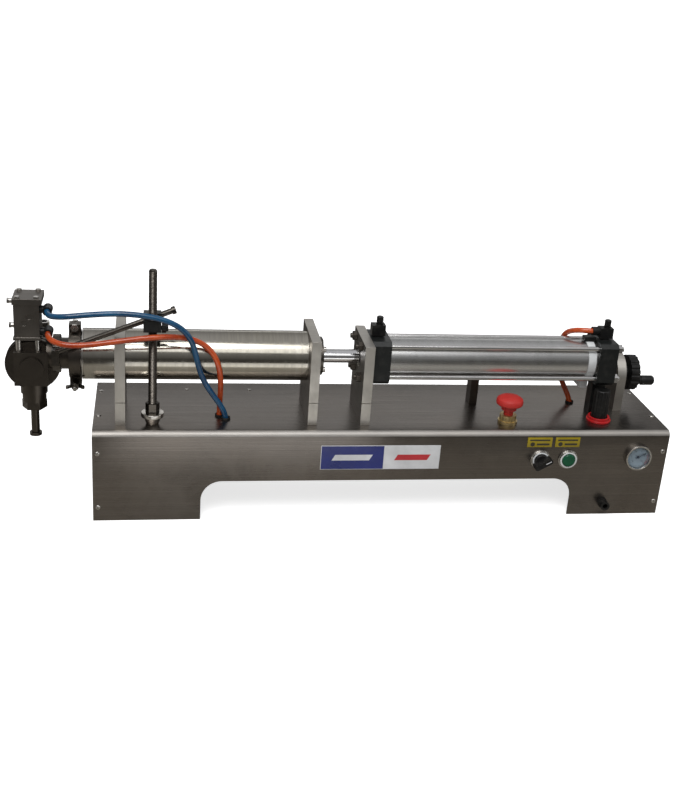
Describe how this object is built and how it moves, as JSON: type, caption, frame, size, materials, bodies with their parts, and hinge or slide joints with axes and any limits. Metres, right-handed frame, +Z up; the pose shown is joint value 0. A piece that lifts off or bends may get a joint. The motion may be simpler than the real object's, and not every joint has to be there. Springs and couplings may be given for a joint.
{
  "type": "piston liquid filler",
  "caption": "Bench-top pneumatic piston filler: air cylinder, rod and liquid cylinder on a bent sheet base, with a filling head, hoses, switches, gauge and handwheel.",
  "frame": {"origin": "middle of the machine's bounding box, on the surface it stands on, measured without the two head hoses and the rear hose", "axes": "+X along the cylinders towards the handwheel, +Y to the back, +Z up"},
  "size_m": [0.972, 0.2136, 0.364],
  "materials": {
    "brushed_sheet": "brushed, bent sheet",
    "machined_plate": "machined plate",
    "polished_steel": "polished",
    "cast_steel": "cast and tumbled",
    "bright_steel": "turned",
    "chrome_rod": "hard chrome",
    "anodised": "clear anodised",
    "dark_aluminium": "dark anodised",
    "black_metal": "black anodised",
    "black_plastic": "satin moulded",
    "black_rubber": "moulded rubber",
    "white_rubber": "food-grade seal",
    "white_plastic": "machined acetal",
    "red_plastic": "moulded",
    "green_plastic": "moulded",
    "brass_ring": "ribbed ring",
    "yellow_plate": "printed plate, plain",
    "blue_plate": "printed plate, plain",
    "pale_dial": "printed dial",
    "clear_window": "clear",
    "blue_tube": "polyurethane tube",
    "orange_tube": "polyurethane tube"
  },
  "bodies": {
    "frame": {"base_shell": "brushed_sheet", "end_panels": "brushed_sheet", "panel_screws": "bright_steel", "base_bolts": "bright_steel", "support_a": "machined_plate", "support_b": "machined_plate", "support_c": "machined_plate", "support_d": "machined_plate", "rear_foot": "machined_plate", "liquid_tube": "polished_steel", "tube_outlet": "polished_steel", "clamp_jaws": "cast_steel", "clamp_pins": "bright_steel", "gasket": "white_rubber", "rod_gland": "machined_plate", "air_barrel": "anodised", "front_cap": "black_metal", "rear_cap": "black_metal", "tie_rods": "bright_steel", "air_fittings": "black_plastic", "estop_collar": "brass_ring", "switch_bezels": "chrome_rod", "inner_blocks": "black_plastic", "label_plates": "yellow_plate", "gauge_case": "polished_steel", "gauge_dial": "pale_dial", "gauge_glass": "clear_window", "regulator_ring": "red_plastic", "grommets": "black_rubber", "nameplate": "blue_plate", "column": "bright_steel", "cross_clamp": "black_metal", "arm": "bright_steel", "head_actuator": "dark_aluminium", "head_trim": "bright_steel", "valve_body": "polished_steel", "outlet_body": "polished_steel", "nozzle": "polished_steel", "inlet_port": "polished_steel", "blue_hose": "blue_tube", "orange_hose": "orange_tube", "rear_hose": "orange_tube"},
    "piston_rod": {"piston": "white_plastic", "piston_rod": "chrome_rod", "air_piston": "anodised"},
    "handwheel": {"handwheel": "black_plastic", "lead_screw": "bright_steel"},
    "crank_knob": {"crank_knob": "black_plastic"},
    "switch_carriage": {"switch_carriage": "white_plastic", "reed_switch": "black_plastic"},
    "estop_head": {"estop_head": "red_plastic"},
    "selector_knob": {"selector_knob": "black_plastic"},
    "start_button": {"start_button": "green_plastic"},
    "regulator_knob": {"regulator_knob": "black_plastic"},
    "gauge_needle": {"gauge_needle": "black_plastic"},
    "front_flow_knob": {"front_flow_knob": "black_plastic"},
    "rear_flow_knob": {"rear_flow_knob": "black_plastic"},
    "wing_nut": {"wing_nut": "cast_steel"},
    "clamp_screw": {"clamp_screw": "black_metal"},
    "nozzle_valve": {"nozzle_valve": "polished_steel"}
  },
  "joints": [
    {"name": "piston_stroke", "type": "slide", "parent": "frame", "child": "piston_rod", "axis": [1, 0, 0], "range_m": [0, 0.24]},
    {"name": "handwheel_turn", "type": "hinge", "parent": "frame", "child": "handwheel", "pos_m": [0.439, 0.0282, 0.1895], "axis": [1, 0, 0], "range_deg": [0, 2160]},
    {"name": "crank_knob_spin", "type": "hinge", "parent": "handwheel", "child": "crank_knob", "pos_m": [0.474, 0.0092, 0.1835], "axis": [1, 0, 0], "continuous": true},
    {"name": "carriage_slide", "type": "slide", "parent": "frame", "child": "switch_carriage", "axis": [1, 0, 0], "range_m": [-0.12, 0]},
    {"name": "estop_press", "type": "slide", "parent": "frame", "child": "estop_head", "axis": [0, 0, -1], "range_m": [0, 0.006], "stiffness_N_per_m": 400, "springref_m": -0.004},
    {"name": "selector_turn", "type": "hinge", "parent": "frame", "child": "selector_knob", "pos_m": [0.285, -0.0848, 0.0935], "axis": [0, 1, 0], "range_deg": [-60, 0]},
    {"name": "start_press", "type": "slide", "parent": "frame", "child": "start_button", "axis": [0, 1, 0], "range_m": [0, 0.003], "stiffness_N_per_m": 300, "springref_m": -0.003},
    {"name": "regulator_turn", "type": "hinge", "parent": "frame", "child": "regulator_knob", "pos_m": [0.385, -0.0408, 0.16], "axis": [0, 0, 1], "range_deg": [-180, 540]},
    {"name": "needle_swing", "type": "hinge", "parent": "frame", "child": "gauge_needle", "pos_m": [0.438, -0.0848, 0.097], "axis": [0, 1, 0], "range_deg": [-60, 180]},
    {"name": "front_flow_turn", "type": "hinge", "parent": "frame", "child": "front_flow_knob", "pos_m": [0.041, -0.0098, 0.285], "axis": [0, 0, 1], "range_deg": [-360, 720]},
    {"name": "rear_flow_turn", "type": "hinge", "parent": "frame", "child": "rear_flow_knob", "pos_m": [0.389, -0.0098, 0.285], "axis": [0, 0, 1], "range_deg": [-360, 720]},
    {"name": "wing_nut_turn", "type": "hinge", "parent": "frame", "child": "wing_nut", "pos_m": [-0.39, -0.0298, 0.185], "axis": [0, 1, 0], "range_deg": [-90, 90]},
    {"name": "clamp_screw_turn", "type": "hinge", "parent": "frame", "child": "clamp_screw", "pos_m": [-0.271, -0.0538, 0.281], "axis": [1, 0, 0], "range_deg": [-180, 180]},
    {"name": "tip_open", "type": "slide", "parent": "frame", "child": "nozzle_valve", "axis": [0, 0, -1], "range_m": [0, 0.008], "stiffness_N_per_m": 800, "springref_m": -0.01}
  ],
  "couplings": [
    {"joint": "carriage_slide", "follows": "handwheel_turn", "m_per_rad": -0.0031831}
  ]
}
